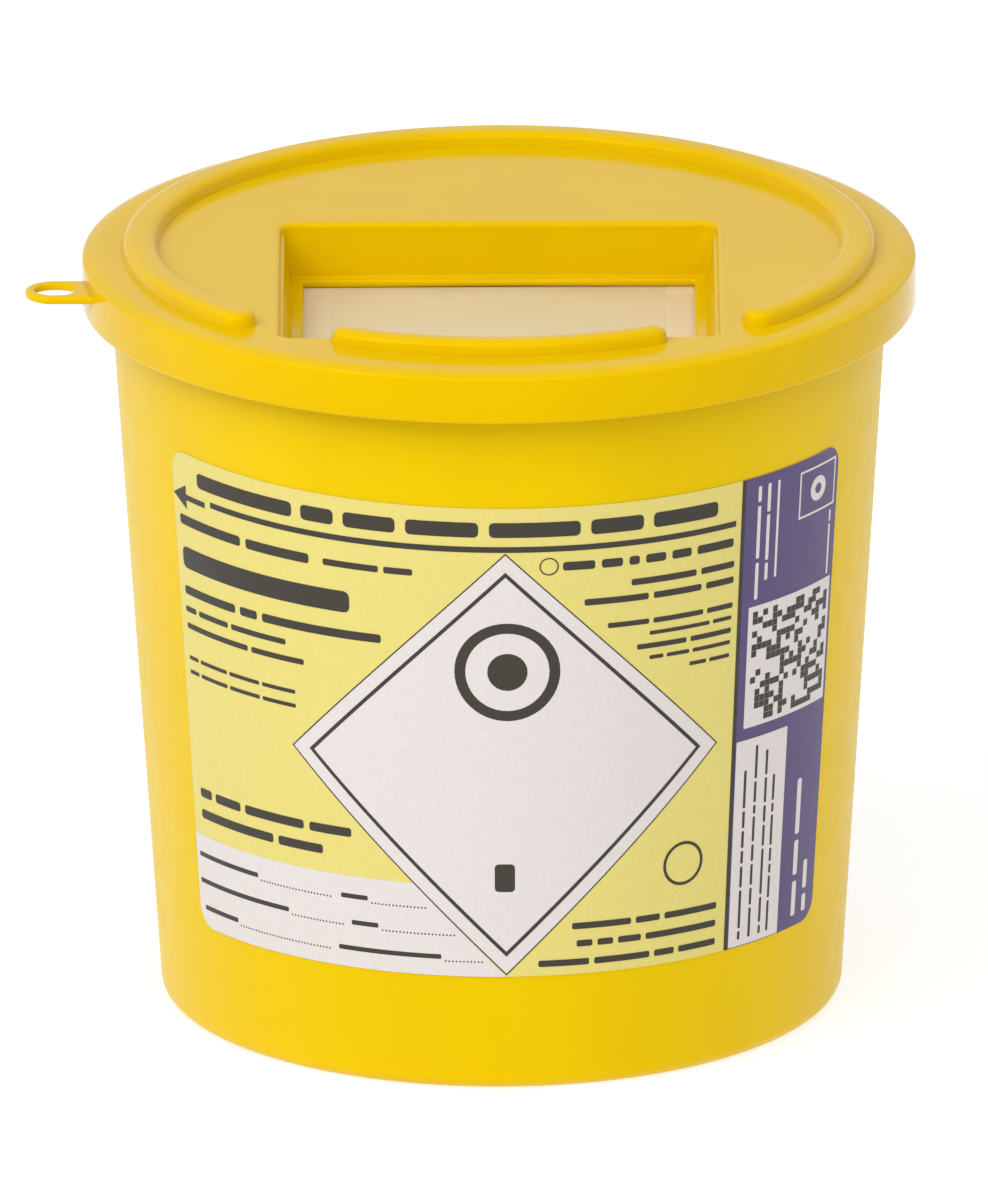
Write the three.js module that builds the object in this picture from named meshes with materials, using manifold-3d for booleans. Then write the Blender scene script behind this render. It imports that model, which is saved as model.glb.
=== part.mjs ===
// Round sharps container: a tapered tub, an overhanging press-on lid with a stacking
// ridge and a rectangular mouth, a door that slides under the lid, and a wrapped label.
// Millimetres, +Z up, the front faces -Y. The origin is the centre of the tub's base.
import * as THREE from 'three';
import { mergeVertices } from 'three/addons/utils/BufferGeometryUtils.js';
import Module from 'manifold-3d';

// ---- driving dimensions ----
const RIM_TOP = 172.3; // height of the lid's flat top
const FACETS = 72; // facets round a full turn
const GAP = 0.3; // clearance between neighbouring pieces

const TUB = {
  baseRadius: 76.2,
  topRadius: 86.5, // outer radius where the lid's skirt ends
  wall: 1.3,
  floor: 1.6,
  cornerRadius: 3.3,
  rimRadius: 90.6, // turned-out rim that the lid grips
  rimThickness: 1.5,
  lipDepth: 4.6, // turned-down edge of the rim
  lipWidth: 1.2,
  grooveRadius: 60, // shallow ring in the underside that stiffens the floor
  grooveWidth: 4,
  grooveDepth: 0.5,
};

const LID = {
  radius: 93,
  plate: 2,
  skirtDepth: 11.5,
  skirtWall: 1.8,
  shoulderStart: 89.2, // radius at which the top begins to fall towards the rim
  shoulderDrop: 0.8,
  edgeRadius: 0.9,
  beadInset: 0.35, // snap bead inside the skirt
  beadHeight: 2,
  beadAbove: 1.2, // from the skirt's lower edge to the bead
  plugOuter: 84.8, // ring that drops into the tub's mouth
  plugInner: 83.4,
  plugDepth: 4,
};

const RIDGE = {
  height: 3.2,
  round: 1.5,
  ringInner: 76.4,
  ringOuter: 84.6,
  ringGap: 43.2, // degrees either side of the front where the ring is left out
  frontInner: 72.8,
  frontOuter: 79.3,
  frontHalf: 29, // degrees either side of the front that the front segment covers
};

// The mouth: drafted walls down to an inward ledge, with the door just below it.
const MOUTH = {
  halfWidth: 48.6,
  front: -64.4,
  back: 19.4,
  cornerRadius: 3.5,
  edgeRound: 1.4,
  draft: 2,
  wallDepth: 11.9,
  ledgeWidth: 2.9,
  ledgeThickness: 1.4,
  wall: 1.6,
};

const DOOR = {
  depth: 14, // from the lid's top down to the door's top face
  thickness: 1.8,
  halfWidth: 47.5,
  front: -62,
  back: 21,
  frontCorner: 2,
  backCorner: 12,
  bandInner: 37.4, // raised bands along both sides
  bandOuter: 43.2,
  bandHeight: 0.4,
  gripHalfWidth: 18,
  gripFront: -54.4,
  gripLength: 4.4,
  gripHeight: 5,
  gripRound: 1.2,
  pipRadius: 1.3,
  pipHeight: 0.3,
  pipY: 8,
  lockTravel: 4, // forward, over the locking catch
};

const RAIL = {
  wall: 2.1,
  side: 0.4, // clearance beside the door
  lipReach: 2.4, // how far a lip goes in under the door
  lipThickness: 1.5,
  back: 64,
  stopWall: 1.6,
  stopHalfWidth: 40,
  catchLength: 3,
  catchWidth: 3,
  catchHeight: 0.9,
};

// The loop points straight out to the left from the front half of the skirt.
const LOOP = {
  centreY: -15.8,
  tip: 105.5,
  halfWidth: 6.3,
  band: 2.2,
  holeStart: 94.3,
  thickness: 1.8,
  below: 4.9, // from the lid's top to the loop's mid-plane
  rootDepth: 0.9, // how far the loop runs into the skirt's wall
};

const LABEL = {
  bottom: 27.3,
  top: 138.8,
  rise: 1.2, // how far the top edge rises at 60 degrees to either side
  tilt: 0.6, // and how much it falls on the right and rises on the left
  left: -58.8,
  right: 62.3, // degrees from the front
  cornerRadius: 5,
  thickness: 0.3,
  stepDegrees: 5,
};

const plateBottom = RIM_TOP - LID.plate;
const skirtBottom = RIM_TOP - LID.skirtDepth;
const skirtInner = LID.radius - LID.skirtWall;
const ledgeTop = RIM_TOP - MOUTH.wallDepth;
const ledgeBottom = ledgeTop - MOUTH.ledgeThickness;
const doorTop = RIM_TOP - DOOR.depth;
const doorBottom = doorTop - DOOR.thickness;
const tubTop = plateBottom - GAP;
const tubSlope = (TUB.topRadius - TUB.baseRadius) / skirtBottom;
const tubRadiusAt = (z) => TUB.baseRadius + tubSlope * z;
const radians = THREE.MathUtils.degToRad;
const FRONT = -90; // direction of the front in the XY plane, degrees

// ---- solids ----
const wasm = await Module();
wasm.setup();

function weld(geometry) {
  const positions = geometry.clone();
  positions.deleteAttribute('normal');
  positions.deleteAttribute('uv');
  return mergeVertices(positions, 1e-4);
}

function toSolid(geometry) {
  const welded = weld(geometry);
  return new wasm.Manifold(new wasm.Mesh({
    numProp: 3,
    vertProperties: new Float32Array(welded.attributes.position.array),
    triVerts: new Uint32Array(welded.index.array),
  }));
}

function toGeometry(solid) {
  const mesh = solid.getMesh();
  const geometry = new THREE.BufferGeometry();
  geometry.setAttribute('position', new THREE.BufferAttribute(mesh.vertProperties, 3));
  geometry.setIndex(new THREE.BufferAttribute(mesh.triVerts, 1));
  geometry.computeVertexNormals();
  return geometry;
}

function named(name, geometry, color, roughness) {
  const material = new THREE.MeshStandardMaterial({ color, roughness, metalness: 0 });
  const mesh = new THREE.Mesh(geometry, material);
  mesh.name = name;
  return mesh;
}

// A profile of [radius, height] points turned about the vertical axis.
function revolve(profile) {
  const points = profile.map(([r, z]) => new THREE.Vector2(r, z));
  return new THREE.LatheGeometry(points, FACETS).rotateX(Math.PI / 2);
}

// Points of a circular arc in the plane, angles in degrees, both ends included.
function arc(centreX, centreY, radius, from, to, steps) {
  return Array.from({ length: steps + 1 }, (_, i) => {
    const angle = radians(from + ((to - from) * i) / steps);
    return [centreX + radius * Math.cos(angle), centreY + radius * Math.sin(angle)];
  });
}

// A rectangle about x = 0 with rounded corners, anticlockwise from its front right corner.
function roundedRectangle(halfWidth, front, back, frontCorner, backCorner = frontCorner) {
  const steps = 3;
  return [
    ...arc(halfWidth - frontCorner, front + frontCorner, frontCorner, -90, 0, steps),
    ...arc(halfWidth - backCorner, back - backCorner, backCorner, 0, 90, steps),
    ...arc(backCorner - halfWidth, back - backCorner, backCorner, 90, 180, steps),
    ...arc(frontCorner - halfWidth, front + frontCorner, frontCorner, 180, 270, steps),
  ];
}

// Closed solid through outlines of equal point count, listed from the lowest height up.
function loft(sections) {
  const count = sections[0].outline.length;
  const positions = sections.flatMap(({ outline, z }) => outline.flatMap(([x, y]) => [x, y, z]));
  const cap = THREE.ShapeUtils.triangulateShape(
    sections[0].outline.map(([x, y]) => new THREE.Vector2(x, y)),
    [],
  );
  const last = (sections.length - 1) * count;
  const index = cap.flatMap(([a, b, c]) => [c, b, a, a + last, b + last, c + last]);
  for (let level = 0; level < last; level += count) {
    for (let i = 0; i < count; i += 1) {
      const low = level + i;
      const next = level + ((i + 1) % count);
      index.push(low, next, next + count, low, next + count, low + count);
    }
  }
  const geometry = new THREE.BufferGeometry();
  geometry.setAttribute('position', new THREE.Float32BufferAttribute(positions, 3));
  geometry.setIndex(index);
  return toSolid(geometry);
}

function block(x0, x1, y0, y1, z0, z1) {
  const geometry = new THREE.BoxGeometry(x1 - x0, y1 - y0, z1 - z0);
  return toSolid(geometry.translate((x0 + x1) / 2, (y0 + y1) / 2, (z0 + z1) / 2));
}

// Flat shape raised from z0 to z1, its rim rounded at both faces.
function raise(outline, z0, z1, round) {
  const shape = new THREE.Shape(outline.map(([x, y]) => new THREE.Vector2(x, y)));
  const geometry = new THREE.ExtrudeGeometry(shape, {
    depth: z1 - z0 - 2 * round,
    bevelThickness: round,
    bevelSize: round,
    bevelOffset: -round,
    bevelSegments: 3,
  });
  return toSolid(geometry.translate(0, 0, z0 + round));
}

// ---- tub ----
function tub() {
  const inner = TUB.wall;
  const corner = TUB.cornerRadius;
  const rimBottom = tubTop - TUB.rimThickness;
  const lipInner = TUB.rimRadius - TUB.lipWidth;
  const grooveIn = TUB.grooveRadius - TUB.grooveWidth / 2;
  const grooveOut = TUB.grooveRadius + TUB.grooveWidth / 2;
  return revolve([
    [0, 0],
    [grooveIn, 0],
    [grooveIn + TUB.grooveDepth, TUB.grooveDepth],
    [grooveOut - TUB.grooveDepth, TUB.grooveDepth],
    [grooveOut, 0],
    ...arc(tubRadiusAt(corner) - corner, corner, corner, -90, 0, 4),
    [tubRadiusAt(rimBottom), rimBottom],
    [lipInner, rimBottom],
    [lipInner, tubTop - TUB.lipDepth],
    [TUB.rimRadius, tubTop - TUB.lipDepth],
    [TUB.rimRadius, tubTop - 0.8],
    [TUB.rimRadius - 0.8, tubTop],
    [tubRadiusAt(tubTop) - inner, tubTop],
    [tubRadiusAt(corner) - inner, corner],
    [tubRadiusAt(corner) - corner, TUB.floor],
    [0, TUB.floor],
  ]);
}

// ---- lid ----
function lidShell() {
  const edge = LID.edgeRadius;
  const edgeCentre = LID.radius - edge;
  const bead = skirtInner - LID.beadInset;
  const beadLow = skirtBottom + LID.beadAbove;
  const beadMid = beadLow + LID.beadHeight / 2;
  return toSolid(revolve([
    [0, plateBottom],
    [LID.plugInner, plateBottom],
    [LID.plugInner, plateBottom - LID.plugDepth],
    [LID.plugOuter - 0.6, plateBottom - LID.plugDepth],
    [LID.plugOuter, plateBottom - 1],
    [LID.plugOuter, plateBottom],
    [skirtInner, plateBottom],
    [skirtInner, beadLow + LID.beadHeight],
    [bead, beadMid],
    [skirtInner, beadLow],
    [skirtInner, skirtBottom + 0.4],
    [skirtInner + 0.4, skirtBottom],
    [LID.radius - 0.6, skirtBottom],
    [LID.radius, skirtBottom + 0.6],
    ...arc(edgeCentre, RIM_TOP - LID.shoulderDrop - edge, edge, 0, 70, 4),
    [(LID.shoulderStart + edgeCentre) / 2, RIM_TOP - 0.28 * LID.shoulderDrop],
    [LID.shoulderStart, RIM_TOP],
    [0, RIM_TOP],
  ]));
}

// A length of rounded ridge on the lid's top, with round ends, angles in degrees.
function ridge(inner, outer, from, to) {
  const half = (outer - inner) / 2;
  const middle = inner + half;
  const ends = radians(1) * middle;
  const start = from + half / ends;
  const finish = to - half / ends;
  const steps = Math.round((finish - start) / (360 / FACETS));
  const endSteps = 5;
  const [startX, startY] = arc(0, 0, middle, start, start, 1)[0];
  const [finishX, finishY] = arc(0, 0, middle, finish, finish, 1)[0];
  const outline = [
    ...arc(0, 0, outer, start, finish, steps),
    ...arc(finishX, finishY, half, finish, finish + 180, endSteps).slice(1, -1),
    ...arc(0, 0, inner, finish, start, steps),
    ...arc(startX, startY, half, start + 180, start + 360, endSteps).slice(1, -1),
  ];
  return raise(outline, RIM_TOP - RIDGE.round, RIM_TOP + RIDGE.height, RIDGE.round);
}

function mouthSection(inset, z, grow = 0) {
  const corner = Math.max(MOUTH.cornerRadius - inset, 1) + grow;
  const outline = roundedRectangle(
    MOUTH.halfWidth - inset + grow,
    MOUTH.front + inset - grow,
    MOUTH.back - inset + grow,
    corner,
  );
  return { outline, z };
}

function mouthCut() {
  const round = MOUTH.edgeRound;
  const ledge = MOUTH.draft + MOUTH.ledgeWidth;
  const well = loft([
    mouthSection(MOUTH.draft, ledgeTop),
    mouthSection(0, RIM_TOP - round),
    mouthSection(0, RIM_TOP - 0.35 * round, 0.3 * round),
    mouthSection(0, RIM_TOP, round),
    mouthSection(0, RIM_TOP + 1, round),
  ]);
  return well.add(loft([mouthSection(ledge, ledgeBottom - 1), mouthSection(ledge, ledgeTop + 1)]));
}

function mouthWalls() {
  return loft([
    mouthSection(0, ledgeBottom, MOUTH.wall),
    mouthSection(0, plateBottom + LID.plate / 2, MOUTH.wall),
  ]);
}

// One L-shaped rail beside and under the door, side = 1 on the right and -1 on the left.
function rail(side) {
  const inside = DOOR.halfWidth + RAIL.side;
  const outside = inside + RAIL.wall;
  const lipTop = doorBottom - GAP;
  const lipBottom = lipTop - RAIL.lipThickness;
  const lipInner = DOOR.halfWidth - RAIL.lipReach;
  const front = DOOR.front - DOOR.lockTravel - RAIL.side;
  const catchY = front + RAIL.catchLength;
  const span = (a, b) => (side > 0 ? [a, b] : [-b, -a]);
  const web = block(...span(inside, outside), front, RAIL.back, lipBottom, plateBottom + 1);
  const lip = block(...span(lipInner, outside), front, RAIL.back, lipBottom, lipTop);
  const tooth = block(
    ...span(lipInner - RAIL.catchWidth, lipInner + 0.5),
    catchY,
    catchY + RAIL.catchLength,
    lipTop - RAIL.catchHeight,
    lipTop,
  );
  return web.add(lip).add(tooth);
}

// Wall across the front of the rails that the door meets when it is locked.
function doorStop() {
  const back = DOOR.front - DOOR.lockTravel - RAIL.side;
  return block(
    -RAIL.stopHalfWidth,
    RAIL.stopHalfWidth,
    back - RAIL.stopWall,
    back,
    doorBottom,
    plateBottom + 1,
  );
}

function tetherLoop() {
  const half = LOOP.halfWidth;
  const middle = LOOP.centreY;
  const holeRadius = half - LOOP.band;
  const rootX = (y) => -Math.sqrt((LID.radius - LOOP.rootDepth) ** 2 - y ** 2);
  const shape = new THREE.Shape([
    [rootX(middle + half), middle + half],
    ...arc(half - LOOP.tip, middle, half, 90, 270, 10),
    [rootX(middle - half), middle - half],
  ].map(([x, y]) => new THREE.Vector2(x, y)));
  shape.holes.push(new THREE.Path([
    ...arc(half - LOOP.tip, middle, holeRadius, 90, 270, 8),
    ...arc(-LOOP.holeStart - holeRadius, middle, holeRadius, 270, 450, 8),
  ].map(([x, y]) => new THREE.Vector2(x, y))));
  const low = RIM_TOP - LOOP.below - LOOP.thickness / 2;
  const geometry = new THREE.ExtrudeGeometry(shape, { depth: LOOP.thickness, bevelEnabled: false });
  return toSolid(geometry.translate(0, 0, low));
}

function lid() {
  const ringFrom = FRONT + RIDGE.ringGap;
  const ringTo = FRONT + 360 - RIDGE.ringGap;
  const ring = ridge(RIDGE.ringInner, RIDGE.ringOuter, ringFrom, ringTo);
  const front = ridge(
    RIDGE.frontInner,
    RIDGE.frontOuter,
    FRONT - RIDGE.frontHalf,
    FRONT + RIDGE.frontHalf,
  );
  return toGeometry(lidShell()
    .add(ring)
    .add(front)
    .add(mouthWalls())
    .add(doorStop())
    .subtract(mouthCut())
    .add(rail(1))
    .add(rail(-1))
    .add(tetherLoop()));
}

// ---- sliding door ----
function slidingDoor() {
  const plate = doorBottom + DOOR.thickness / 2;
  const outline = roundedRectangle(
    DOOR.halfWidth, DOOR.front, DOOR.back, DOOR.frontCorner, DOOR.backCorner,
  );
  const panel = loft([{ outline, z: doorBottom }, { outline, z: doorTop }]);
  const bandBack = DOOR.back - DOOR.backCorner;
  const bandTop = doorTop + DOOR.bandHeight;
  const band = (x0, x1) => block(x0, x1, DOOR.front + 1, bandBack, plate, bandTop);
  const gripSection = (inset, z) => {
    const front = DOOR.gripFront + inset;
    const back = DOOR.gripFront + DOOR.gripLength - inset;
    const halfWidth = DOOR.gripHalfWidth - inset;
    return { outline: roundedRectangle(halfWidth, front, back, DOOR.gripRound - inset), z };
  };
  const gripTop = doorTop + DOOR.gripHeight;
  const grip = loft([
    gripSection(0, plate),
    gripSection(0, gripTop - DOOR.gripRound),
    gripSection(DOOR.gripRound / 3, gripTop - DOOR.gripRound / 3),
    gripSection(DOOR.gripRound * 0.8, gripTop),
  ]);
  const pip = toSolid(revolve([
    [0, plate],
    [DOOR.pipRadius, plate],
    [DOOR.pipRadius, doorTop + DOOR.pipHeight / 2],
    [DOOR.pipRadius * 0.7, doorTop + DOOR.pipHeight],
    [0, doorTop + DOOR.pipHeight],
  ]).translate(0, DOOR.pipY, 0));
  return toGeometry(panel
    .add(band(DOOR.bandInner, DOOR.bandOuter))
    .add(band(-DOOR.bandOuter, -DOOR.bandInner))
    .add(grip)
    .add(pip));
}

// ---- label ----
// A film wrapped round the front of the tub, made of upright strips from left to right.
function frontLabel() {
  const middle = (LABEL.top + LABEL.bottom) / 2;
  const corner = LABEL.cornerRadius;
  const cornerDegrees = THREE.MathUtils.radToDeg(corner / tubRadiusAt(middle));
  const cornerSteps = 4;
  const ends = Array.from({ length: cornerSteps + 1 }, (_, i) => {
    const turn = radians((90 * i) / cornerSteps);
    return { along: cornerDegrees * (1 - Math.cos(turn)), trim: corner * (1 - Math.sin(turn)) };
  });
  const from = LABEL.left + cornerDegrees;
  const to = LABEL.right - cornerDegrees;
  const steps = Math.ceil((to - from) / LABEL.stepDegrees);
  const columns = [
    ...ends.map(({ along, trim }) => ({ angle: LABEL.left + along, trim })),
    ...Array.from({ length: steps - 1 }, (_, i) => ({
      angle: from + ((to - from) * (i + 1)) / steps,
      trim: 0,
    })),
    ...ends.map(({ along, trim }) => ({ angle: LABEL.right - along, trim })).reverse(),
  ];
  const positions = columns.flatMap(({ angle, trim }) => {
    const turn = radians(FRONT + angle);
    const point = (offset, z) => {
      const r = tubRadiusAt(z) + offset;
      return [r * Math.cos(turn), r * Math.sin(turn), z];
    };
    const inner = GAP;
    const outer = GAP + LABEL.thickness;
    const side = angle / 60;
    const low = LABEL.bottom + trim;
    const high = LABEL.top - trim + LABEL.rise * side ** 2 - LABEL.tilt * side;
    return [...point(inner, low), ...point(outer, low), ...point(outer, high), ...point(inner, high)];
  });
  const index = [0, 1, 2, 0, 2, 3];
  for (let column = 0; column < columns.length - 1; column += 1) {
    for (let side = 0; side < 4; side += 1) {
      const a = column * 4 + side;
      const b = column * 4 + ((side + 1) % 4);
      index.push(a, a + 4, b + 4, a, b + 4, b);
    }
  }
  const last = (columns.length - 1) * 4;
  index.push(last, last + 2, last + 1, last, last + 3, last + 2);
  const geometry = new THREE.BufferGeometry();
  geometry.setAttribute('position', new THREE.Float32BufferAttribute(positions, 3));
  geometry.setIndex(index);
  return toGeometry(toSolid(geometry));
}

const container = new THREE.Group();
container.add(
  named('tub', tub(), 0xe8c51e, 0.35),
  named('lid', lid(), 0xf3c400, 0.18),
  named('sliding_door', slidingDoor(), 0xead9b4, 0.4),
  named('front_label', frontLabel(), 0xf2e480, 0.3),
);

export default container;
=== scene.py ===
import math

import bmesh
import bpy
import numpy as np
from mathutils import Matrix, Vector


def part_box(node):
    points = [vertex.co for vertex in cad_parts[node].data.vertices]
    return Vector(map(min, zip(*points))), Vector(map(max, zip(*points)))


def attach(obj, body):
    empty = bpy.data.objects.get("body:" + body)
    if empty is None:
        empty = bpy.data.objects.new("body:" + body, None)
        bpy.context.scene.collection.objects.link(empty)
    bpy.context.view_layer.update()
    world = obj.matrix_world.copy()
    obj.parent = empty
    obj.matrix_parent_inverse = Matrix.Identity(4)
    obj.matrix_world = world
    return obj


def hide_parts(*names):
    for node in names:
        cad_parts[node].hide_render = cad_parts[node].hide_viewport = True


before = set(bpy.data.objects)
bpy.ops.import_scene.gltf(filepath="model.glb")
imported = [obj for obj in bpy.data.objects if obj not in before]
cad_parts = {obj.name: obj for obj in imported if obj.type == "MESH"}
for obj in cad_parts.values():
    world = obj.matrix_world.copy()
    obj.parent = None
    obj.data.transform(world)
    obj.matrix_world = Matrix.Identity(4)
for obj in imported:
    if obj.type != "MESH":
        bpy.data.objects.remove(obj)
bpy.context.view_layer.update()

# Shapes are worked out in millimetres and written to Blender in metres.
MM = 0.001
FRONT = -90.0  # direction of the front in the XY plane, degrees


def corner_mm(node):
    """Lowest and highest corner of a CAD node, in millimetres."""
    low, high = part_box(node)
    return np.array(low) / MM, np.array(high) / MM


_, TUB_HIGH = corner_mm("tub")
_, LID_HIGH = corner_mm("lid")
DOOR_LOW, DOOR_HIGH = corner_mm("sliding_door")

# ---- driving dimensions, millimetres ----
LID_RADIUS = LID_HIGH[0]
RIDGE_HEIGHT = 3.2
RIM_TOP = LID_HIGH[2] - RIDGE_HEIGHT
PLATE = 2.0
PLATE_BOTTOM = RIM_TOP - PLATE
SKIRT_DEPTH = 11.5
SKIRT_BOTTOM = RIM_TOP - SKIRT_DEPTH
SKIRT_WALL = 1.8
SKIRT_INNER = LID_RADIUS - SKIRT_WALL
SHOULDER_START = 89.2  # radius at which the lid's top begins to fall towards the rim
SHOULDER_DROP = 0.82
RIM_EDGE = 0.85

TUB_BASE_RADIUS = 76.2
TUB_TOP_RADIUS = 86.5
TUB_WALL = 1.3
TUB_FLOOR = 1.6
TUB_CORNER = 3.3
TUB_INNER_CORNER = 4.0
TUB_RIM_RADIUS = TUB_HIGH[0]
TUB_RIM_THICKNESS = 1.5
TUB_LIP_WIDTH = 1.2
TUB_LIP_DEPTH = 4.6
TUB_TOP = TUB_HIGH[2]
# radius and height of points on the underside: the gate mark and the stiffening groove
GATE_MARK = [(1.2, 0.35), (1.6, 0.05), (2.0, 0.0)]
FLOOR_GROOVE = [(57.6, 0.0), (58.2, 0.08), (58.8, 0.42), (61.2, 0.42), (61.8, 0.08), (62.4, 0.0)]

RING_INNER = 76.0
RING_OUTER = 84.2
RING_CENTRE_Y = 1.0
RING_GAP = 43.2  # degrees either side of the front without the ring
FRONT_RIDGE_INNER = 72.8
FRONT_RIDGE_OUTER = 79.3
FRONT_RIDGE_SPAN = 29.0
RIDGE_ROUND = 2.5  # width of the rounding along a ridge's edges
RIDGE_ROUND_DEPTH = 1.8
RIDGE_DRAFT = 0.35  # how far a ridge's wall leans in
RIDGE_ROOT = 0.8  # depth to which a ridge reaches into the lid's top

MOUTH_HALF = 48.6
MOUTH_FRONT = -64.4
MOUTH_BACK = 19.4
MOUTH_CORNER = 3.5
MOUTH_EDGE = 1.4
MOUTH_DRAFT = 2.0
MOUTH_DEPTH = 11.9
LEDGE_WIDTH = 2.9
LEDGE_THICKNESS = 1.4
MOUTH_WALL = 1.6
LEDGE_TOP = RIM_TOP - MOUTH_DEPTH
LEDGE_BOTTOM = LEDGE_TOP - LEDGE_THICKNESS
LEDGE_FILLET = 0.7  # between the ledge and the drafted wall

# radius and depth below the plate of the ring that drops into the tub's mouth
PLUG = [(85.3, 0.0), (84.8, 0.5), (84.6, 3.4), (84.2, 4.0), (83.6, 4.0), (83.4, 3.6), (83.3, 0.0)]
BEAD_INSET = 0.35  # snap bead inside the skirt
BEAD_HEIGHT = 2.0
BEAD_ABOVE = 1.2

DOOR_TOP = RIM_TOP - 14.0
DOOR_BOTTOM = DOOR_LOW[2]
DOOR_HALF = DOOR_HIGH[0]
DOOR_FACE = DOOR_TOP + 0.36
DOOR_FRONT_CORNER = 2.0
DOOR_BACK_CORNER = 12.0
BAND_INNER = 37.4  # raised bands along the door's sides
BAND_OUTER = 43.2
GRIP_HALF = 18.0
GRIP_FRONT = -54.4
GRIP_BACK = -50.0
GRIP_CORNER = 2.1
PIP_Y = 8.0  # gate mark on the door
PIP = [(1.3, -0.4), (1.3, 0.05), (1.15, 0.2), (0.8, 0.28)]  # radius, height above the door

RAIL_GAP = 0.4  # clearance beside the door
RAIL_WEB = 2.1
RAIL_LIP = 1.5
RAIL_BELOW = 0.3  # clearance under the door
RAIL_BACK = 64.0
RAIL_LEAD = 4.4  # how far the rails reach past the door's front

LOOP_CENTRE_Y = -15.8
LOOP_TIP = 105.5
LOOP_HALF = 6.3
LOOP_BAND = 2.2
LOOP_HOLE_START = 94.3
LOOP_THICKNESS = 1.8
LOOP_BELOW = 4.9
LOOP_EDGE = 0.7
LOOP_ROOT = 0.9  # how far the loop reaches into the skirt

LABEL_BOTTOM = 27.3
LABEL_TOP = 138.8
LABEL_LEFT = -58.8
LABEL_RIGHT = 62.3
LABEL_RISE = 1.2  # how far the label's top edge rises at 60 degrees to either side
LABEL_TILT = 0.6
LABEL_CORNER = 5.0
LABEL_RADIUS = 81.5  # radius at which the label's width is measured


def tub_radius(z):
    """Outer radius of the tub's tapered wall at height z."""
    return TUB_BASE_RADIUS + (TUB_TOP_RADIUS - TUB_BASE_RADIUS) * z / SKIRT_BOTTOM


# ---- mesh helpers ----
def mesh_object(name, vertices, faces):
    """Object from vertices in millimetres."""
    mesh = bpy.data.meshes.new(name)
    mesh.from_pydata((np.asarray(vertices, float) * MM).tolist(), [], faces)
    mesh.validate()
    made = bpy.data.objects.new(name, mesh)
    bpy.context.scene.collection.objects.link(made)
    return made


def shade(made, angle=38.0):
    """Smooth shading that keeps edges sharper than the angle."""
    made.data.shade_smooth()
    made.data.set_sharp_from_angle(angle=math.radians(angle))
    return made


def finish_mesh(made, angle=38.0):
    """Outward faces and smooth shading."""
    bm = bmesh.new()
    bm.from_mesh(made.data)
    bmesh.ops.recalc_face_normals(bm, faces=bm.faces)
    bm.to_mesh(made.data)
    bm.free()
    return shade(made, angle)


def skin(name, rings, wrap=False, caps=True):
    """Closed surface through rings of equal point count, each ring a closed loop of points."""
    count = len(rings[0])
    vertices = np.concatenate(rings)
    faces = []
    pairs = len(rings) if wrap else len(rings) - 1
    for k in range(pairs):
        low = k * count
        high = ((k + 1) % len(rings)) * count
        for i in range(count):
            j = (i + 1) % count
            faces.append((low + i, low + j, high + j, high + i))
    if caps and not wrap:
        faces.append(tuple(range(count))[::-1])
        last = (len(rings) - 1) * count
        faces.append(tuple(range(last, last + count)))
    return mesh_object(name, vertices, faces)


def circle_ring(radius, z, angles):
    """Points at the given angles on a level circle."""
    return np.stack(
        [radius * np.cos(angles), radius * np.sin(angles), np.full(angles.size, float(z))], axis=1
    )


def revolve(name, profile, segments=288):
    """Surface of revolution of [radius, height] points that start and end near the axis."""
    angles = np.linspace(0, 2 * math.pi, segments, endpoint=False)
    return skin(name, [circle_ring(r, z, angles) for r, z in profile])


def arc(centre_x, centre_y, radius, start, end, steps):
    """Points of a circular arc, angles in degrees, both ends included."""
    turn = np.radians(np.linspace(start, end, steps + 1))
    return np.stack([centre_x + radius * np.cos(turn), centre_y + radius * np.sin(turn)], axis=1)


def rounded_rectangle(x0, x1, y0, y1, corners, steps=8):
    """Anticlockwise outline; corners are radii from front right round to front left."""
    a, b, c, d = corners
    return np.concatenate([
        arc(x1 - a, y0 + a, a, -90, 0, steps),
        arc(x1 - b, y1 - b, b, 0, 90, steps),
        arc(x0 + c, y1 - c, c, 90, 180, steps),
        arc(x0 + d, y0 + d, d, 180, 270, steps),
    ])


def flat_ring(outline, z):
    """A plane outline placed at height z."""
    return np.column_stack([outline, np.full(len(outline), z)])


def soft_slab(name, outline_at, low, high, round_low, round_high, steps=5):
    """Slab whose edges are rounded. outline_at(inset) gives the outline drawn in by inset."""
    rings = []
    for turn in np.radians(np.linspace(-90, 0, steps + 1)):
        inset = round_low * (1 - math.cos(turn))
        rings.append((inset, low + round_low * (1 + math.sin(turn))))
    for turn in np.radians(np.linspace(0, 90, steps + 1)):
        inset = round_high * (1 - math.cos(turn))
        rings.append((inset, high - round_high * (1 - math.sin(turn))))
    return skin(name, [flat_ring(outline_at(inset), z) for inset, z in rings])


def slab_box(name, x0, x1, y0, y1, low, high, corner=0.6, edge=0.3):
    """Box with rounded upright corners and softened edges."""
    def outline_at(inset):
        radius = max(corner - inset, 0.05)
        return rounded_rectangle(
            x0 + inset, x1 - inset, y0 + inset, y1 - inset, [radius] * 4, steps=4
        )

    return soft_slab(name, outline_at, low, high, edge, edge, steps=3)


def join(name, parts):
    """One object from several, in their order."""
    bm = bmesh.new()
    for part in parts:
        bm.from_mesh(part.data)
        bpy.data.objects.remove(part)
    mesh = bpy.data.meshes.new(name)
    bm.to_mesh(mesh)
    bm.free()
    made = bpy.data.objects.new(name, mesh)
    bpy.context.scene.collection.objects.link(made)
    return made


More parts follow.
